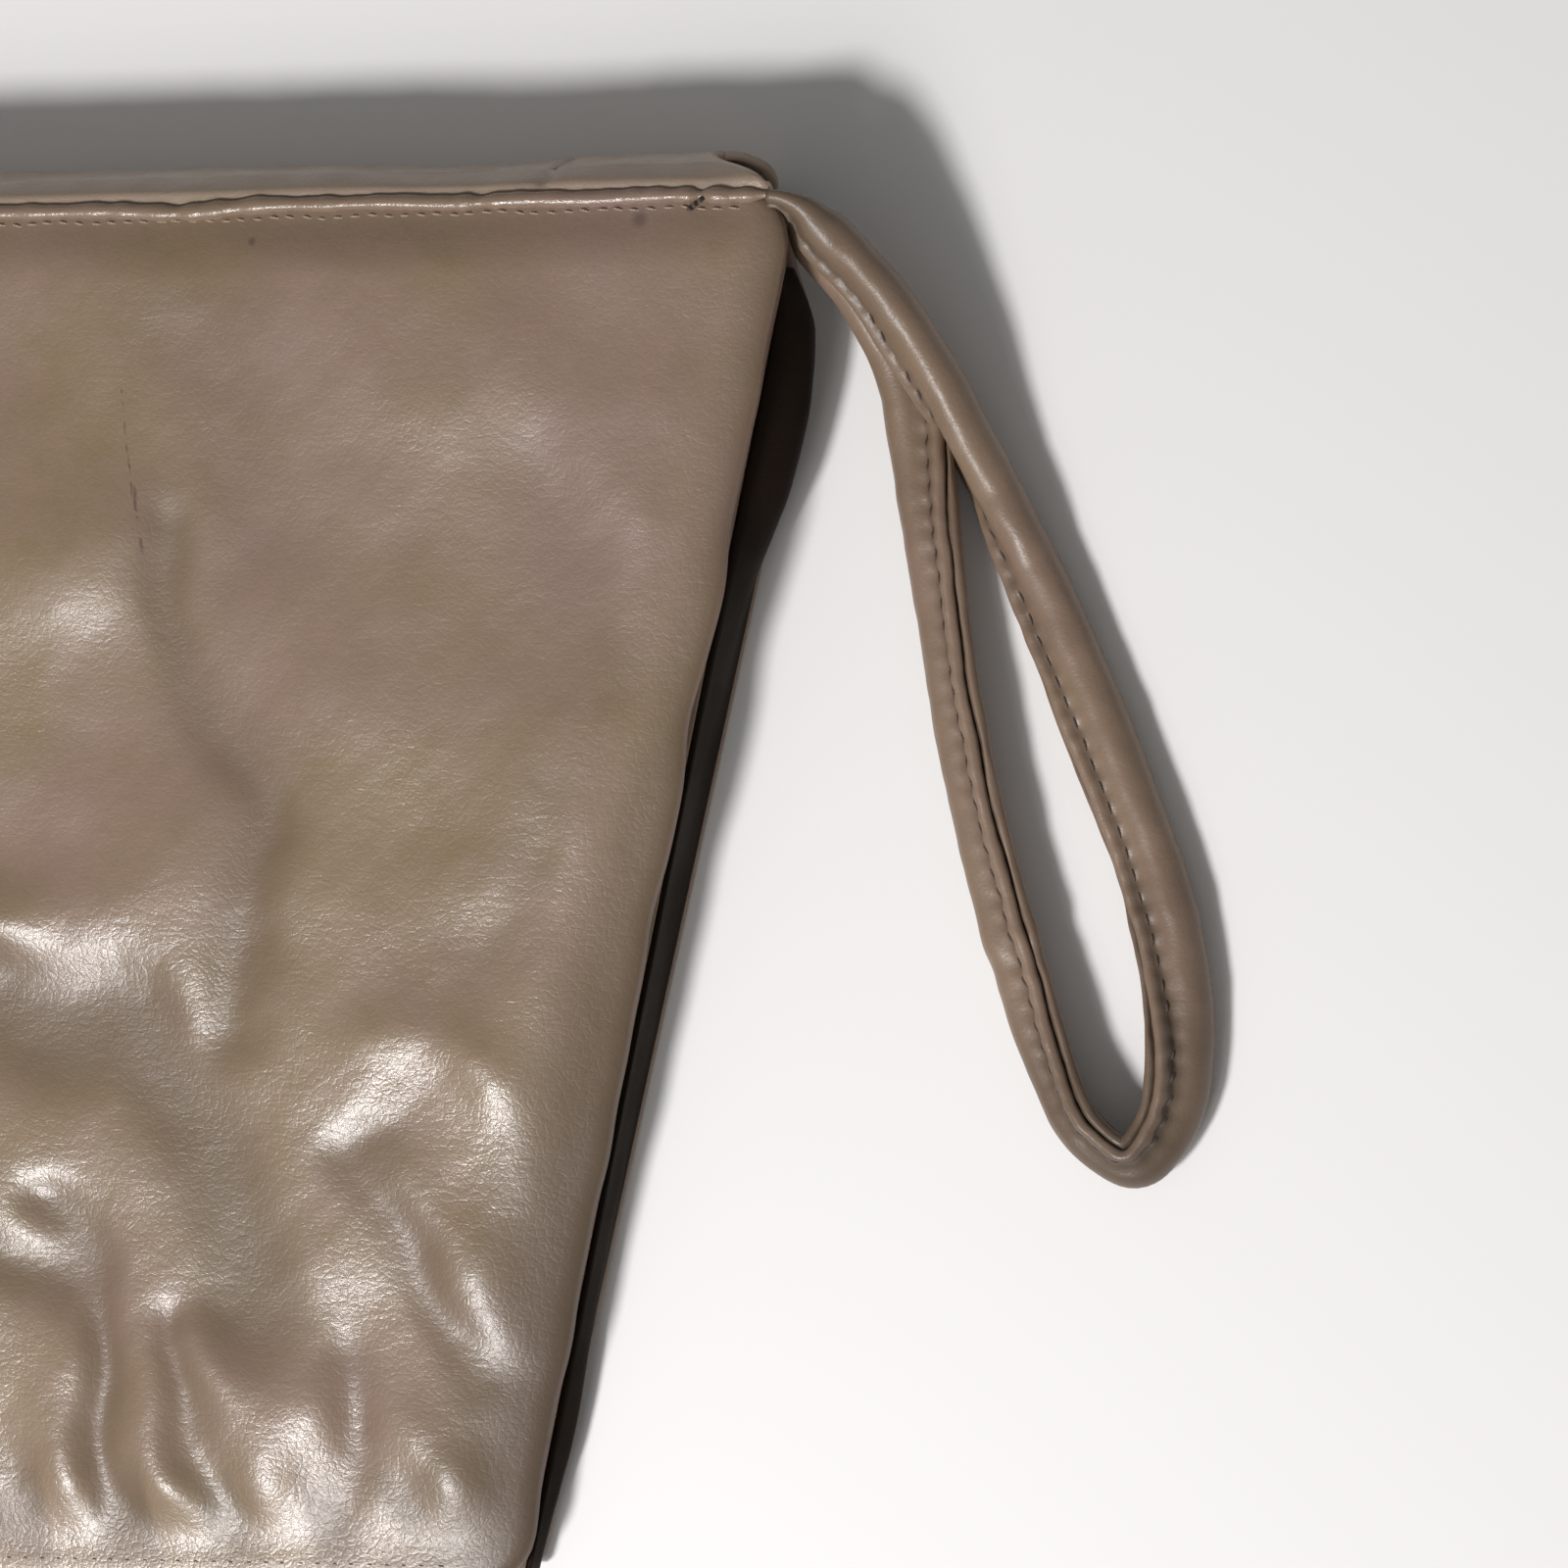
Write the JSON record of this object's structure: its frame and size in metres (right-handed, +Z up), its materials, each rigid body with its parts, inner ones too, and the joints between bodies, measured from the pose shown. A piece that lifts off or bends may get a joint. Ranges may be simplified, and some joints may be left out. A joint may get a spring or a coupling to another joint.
{
  "type": "wristlet wallet",
  "caption": "Flat leather clutch with tapering sides, a full front flap over a gusseted pouch, and a rolled leather wrist loop at one end of the fold.",
  "frame": {"origin": "middle of the back panel's outer face, on the surface the wallet lies on", "axes": "+X towards the strap end of the fold, +Y from the bottom edge towards the fold, +Z up out of the front flap"},
  "size_m": [0.3423, 0.2156, 0.0254],
  "materials": {
    "shell_leather": "glossy taupe nappa, soft and wrinkled",
    "strap_leather": "glossy taupe nappa, rolled and topstitched",
    "lining_cloth": "matt brown twill lining",
    "stiffener_board": "pressed fibre board",
    "zip_tape_cloth": "woven polyester tape",
    "zip_metal": "antique brass",
    "snap_metal": "pressed brass-plated steel",
    "magnet_ferrite": "sintered ferrite",
    "strap_filler": "braided cotton cord"
  },
  "bodies": {
    "pouch": {"back_panel": "shell_leather", "back_board": "stiffener_board", "back_lining": "lining_cloth", "front_wall": "shell_leather", "front_lining": "lining_cloth", "mouth_binding": "shell_leather", "gusset_right": "shell_leather", "gusset_left": "shell_leather", "base_strip": "shell_leather", "card_pocket": "lining_cloth", "zip_bag": "lining_cloth", "zip_tape": "zip_tape_cloth", "zip_teeth": "zip_metal", "zip_stops": "zip_metal", "zip_frame": "shell_leather", "snap_stud": "snap_metal", "snap_stud_washer": "snap_metal"},
    "spine": {"spine_band": "shell_leather", "spine_lining": "lining_cloth"},
    "flap": {"flap_panel": "shell_leather", "flap_board": "stiffener_board", "flap_lining": "lining_cloth", "seam_ridge": "shell_leather", "flap_hem": "shell_leather", "snap_cap": "snap_metal", "snap_magnet": "magnet_ferrite", "snap_cap_washer": "snap_metal", "strap_root": "strap_leather"},
    "strap": {"strap_cover": "strap_leather", "strap_core": "strap_filler"},
    "slider": {"zip_slider": "zip_metal"},
    "pull": {"zip_pull": "zip_metal"}
  },
  "joints": [
    {"name": "spine_roll", "type": "hinge", "parent": "pouch", "child": "spine", "pos_m": [0, 0.1065, 0.0007], "axis": [-1, 0, 0], "range_deg": [0, 56]},
    {"name": "flap_turn", "type": "hinge", "parent": "spine", "child": "flap", "pos_m": [0, 0.1065, 0.0233], "axis": [-1, 0, 0], "range_deg": [0, 130]},
    {"name": "strap_swing", "type": "hinge", "parent": "flap", "child": "strap", "pos_m": [0.145, 0.1, 0.0195], "axis": [0, 0, 1], "range_deg": [-4, 55]},
    {"name": "zip_slide", "type": "slide", "parent": "pouch", "child": "slider", "axis": [1, 0, 0], "range_m": [-0.125, 0]},
    {"name": "pull_swing", "type": "hinge", "parent": "slider", "child": "pull", "pos_m": [0.0625, 0.085, 0.0071], "axis": [0, 1, 0], "range_deg": [0, 45]}
  ],
  "couplings": [
    {"joint": "spine_roll", "follows": "flap_turn", "ratio": 0.43}
  ]
}
